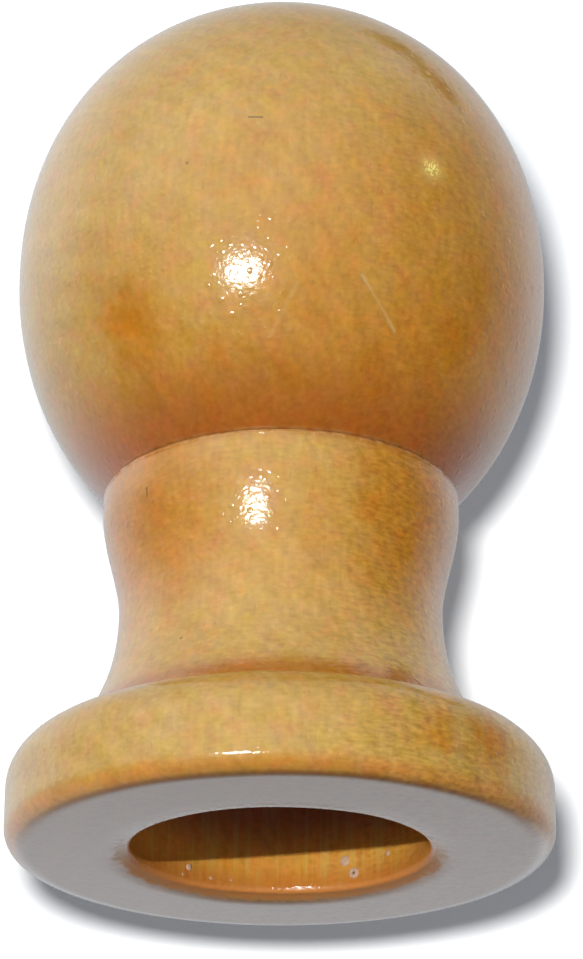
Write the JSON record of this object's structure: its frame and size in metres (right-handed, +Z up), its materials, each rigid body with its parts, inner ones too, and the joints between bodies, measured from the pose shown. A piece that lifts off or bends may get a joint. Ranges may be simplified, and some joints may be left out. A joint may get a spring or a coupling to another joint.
{
  "type": "flagpole finial",
  "caption": "Turned wooden flagpole finial: a lacquered ball on a short waisted neck and round flange, with a blind socket below that slides over the top of a pole.",
  "frame": {"origin": "centre of the socket's mouth, on the flat underside of the flange", "axes": "+Z up the turning axis, from the flange towards the crown of the ball"},
  "size_m": [0.049, 0.049, 0.0817],
  "materials": {
    "lacquered_wood": "pale close-grained wood under glossy clear lacquer with an amber tint"
  },
  "bodies": {
    "root": {"finial": "lacquered_wood"}
  },
  "joints": []
}
